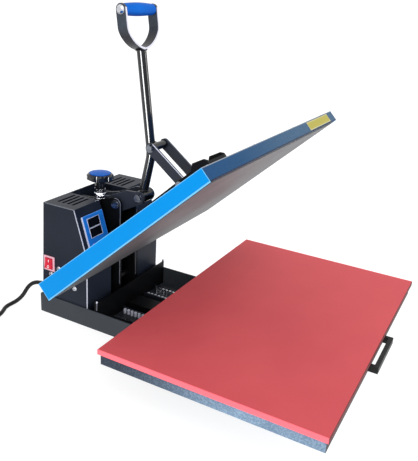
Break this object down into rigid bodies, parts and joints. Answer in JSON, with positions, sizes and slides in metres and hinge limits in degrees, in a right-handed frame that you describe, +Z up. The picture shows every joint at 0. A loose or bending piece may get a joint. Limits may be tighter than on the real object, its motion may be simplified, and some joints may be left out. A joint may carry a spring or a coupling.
{
  "type": "heat press",
  "caption": "Clamshell heat press with a pull-out lower platen on slides, a toggle lever with a D-handle, a pressure knob and a control box.",
  "frame": {"origin": "centre of the base tray's underside, on the table", "axes": "+X to the operator's right, +Y to the rear, where the control box stands, +Z up"},
  "size_m": [0.6006, 0.856, 0.6332],
  "materials": {
    "tray_paint": "satin",
    "black_steel": "satin",
    "rail_steel": "satin",
    "bright_steel": "satin",
    "chrome": "gloss",
    "cabinet_paint": "satin",
    "panel_blue": "satin",
    "window_black": "gloss",
    "switch_white": "gloss",
    "switch_red": "gloss",
    "button_grey": "matte",
    "board_green": "matte",
    "black_plastic": "matte",
    "knob_black": "gloss",
    "knob_blue": "gloss",
    "bronze": "satin",
    "lever_paint": "gloss",
    "grip_blue": "satin",
    "plate_aluminium": "matte",
    "element_steel": "matte",
    "glass_wool": "matte",
    "cover_paint": "satin",
    "band_paint": "satin",
    "front_paint": "satin",
    "label_yellow": "matte",
    "lead_sleeve": "matte",
    "hammered_paint": "satin",
    "silicone": "matte",
    "cord_rubber": "matte"
  },
  "bodies": {
    "frame": {"base_tray": "tray_paint", "cross_plate": "black_steel", "centre_rail": "rail_steel", "slide_rail_left": "rail_steel", "slide_rail_right": "rail_steel", "roller_strips": "bright_steel", "upright_left": "black_steel", "upright_right": "black_steel", "upright_ties": "black_steel", "hinge_shaft": "bright_steel", "arm_bolt": "bright_steel", "arm_spacers": "bright_steel", "thrust_block": "black_steel", "cabinet_left": "cabinet_paint", "cabinet_right": "cabinet_paint", "rear_cover": "cabinet_paint", "cover_screws": "bright_steel", "side_screws": "bright_steel", "display_panel": "panel_blue", "display_window": "window_black", "switch_frame": "switch_white", "control_board": "board_green", "lead_grommet": "black_plastic", "cord_gland": "black_plastic", "power_cord": "cord_rubber", "cord_coil": "cord_rubber", "cord_tail": "cord_rubber", "plug": "black_plastic"},
    "knob_screw": {"pressure_screw": "chrome", "pressure_knob": "knob_black", "knob_cap": "knob_blue"},
    "trunnion": {"trunnion_nut": "bright_steel"},
    "pressure_arm": {"pressure_arms": "black_steel", "lever_bolt": "bright_steel"},
    "bush": {"lever_bush": "bronze"},
    "lever": {"lever_tube": "lever_paint", "handle_fork": "lever_paint", "grip_bolt": "bright_steel"},
    "grip": {"handle_grip": "grip_blue"},
    "link": {"link_bars": "black_steel", "elbow_bolts": "bright_steel"},
    "upper_platen": {"heat_plate": "plate_aluminium", "heating_element": "element_steel", "insulation": "glass_wool", "top_cover": "cover_paint", "side_bands": "band_paint", "front_band": "front_paint", "front_label": "label_yellow", "platen_bracket": "black_steel", "bracket_bolts": "bright_steel", "link_pin": "bright_steel", "heater_lead": "lead_sleeve"},
    "drawer": {"lower_plate": "hammered_paint", "silicone_pad": "silicone", "drawer_carriage": "rail_steel", "drawer_handle": "black_plastic"},
    "switch_key": {"switch_rocker": "switch_red"},
    "set_button": {"button_set": "button_grey"},
    "down_button": {"button_down": "button_grey"},
    "up_button": {"button_up": "button_grey"}
  },
  "joints": [
    {"name": "platen_hinge", "type": "hinge", "parent": "frame", "child": "upper_platen", "pos_m": [0, 0.188, 0.14], "axis": [1, 0, 0], "range_deg": [0, 42.5]},
    {"name": "lever_pivot", "type": "hinge", "parent": "bush", "child": "lever", "pos_m": [0, 0.112, 0.2586], "axis": [1, 0, 0], "range_deg": [0, 111.1]},
    {"name": "link_pivot", "type": "hinge", "parent": "upper_platen", "child": "link", "pos_m": [0, 0.00574, 0.31026], "axis": [1, 0, 0], "range_deg": [-49.1, 0]},
    {"name": "drawer_slide", "type": "slide", "parent": "frame", "child": "drawer", "axis": [0, 1, 0], "range_m": [0, 0.128]},
    {"name": "knob_turn", "type": "hinge", "parent": "frame", "child": "knob_screw", "pos_m": [0, 0.224, 0.25], "axis": [0, 0, 1], "range_deg": [-631, 631]},
    {"name": "trunnion_slide", "type": "slide", "parent": "frame", "child": "trunnion", "axis": [0, 0, 1], "range_m": [-0.0035, 0.0035]},
    {"name": "arm_tilt", "type": "hinge", "parent": "frame", "child": "pressure_arm", "pos_m": [0, 0.161, 0.238], "axis": [1, 0, 0], "range_deg": [-3.2, 3.2]},
    {"name": "pivot_slide", "type": "slide", "parent": "frame", "child": "bush", "axis": [0, 0.3876, 0.9218], "range_m": [-0.003, 0.003]},
    {"name": "grip_spin", "type": "hinge", "parent": "lever", "child": "grip", "pos_m": [0, 0.1361, 0.62073], "axis": [1, 0, 0], "continuous": true},
    {"name": "switch_rock", "type": "hinge", "parent": "frame", "child": "switch_key", "pos_m": [-0.1235, 0.2545, 0.116], "axis": [0, -1, 0], "range_deg": [0, 14]},
    {"name": "set_press", "type": "slide", "parent": "frame", "child": "set_button", "axis": [0, 0.9518, -0.3066], "range_m": [0, 0.0008], "stiffness_N_per_m": 400},
    {"name": "down_press", "type": "slide", "parent": "frame", "child": "down_button", "axis": [0, 0.9518, -0.3066], "range_m": [0, 0.0008], "stiffness_N_per_m": 400},
    {"name": "up_press", "type": "slide", "parent": "frame", "child": "up_button", "axis": [0, 0.9518, -0.3066], "range_m": [0, 0.0008], "stiffness_N_per_m": 400}
  ],
  "couplings": [
    {"joint": "lever_pivot", "follows": "platen_hinge", "ratio": 2.6129},
    {"joint": "link_pivot", "follows": "platen_hinge", "ratio": -1.1537},
    {"joint": "knob_turn", "follows": "trunnion_slide", "rad_per_m": -3141.6},
    {"joint": "arm_tilt", "follows": "trunnion_slide", "rad_per_m": 15.873},
    {"joint": "pivot_slide", "follows": "trunnion_slide", "ratio": -0.84372}
  ]
}
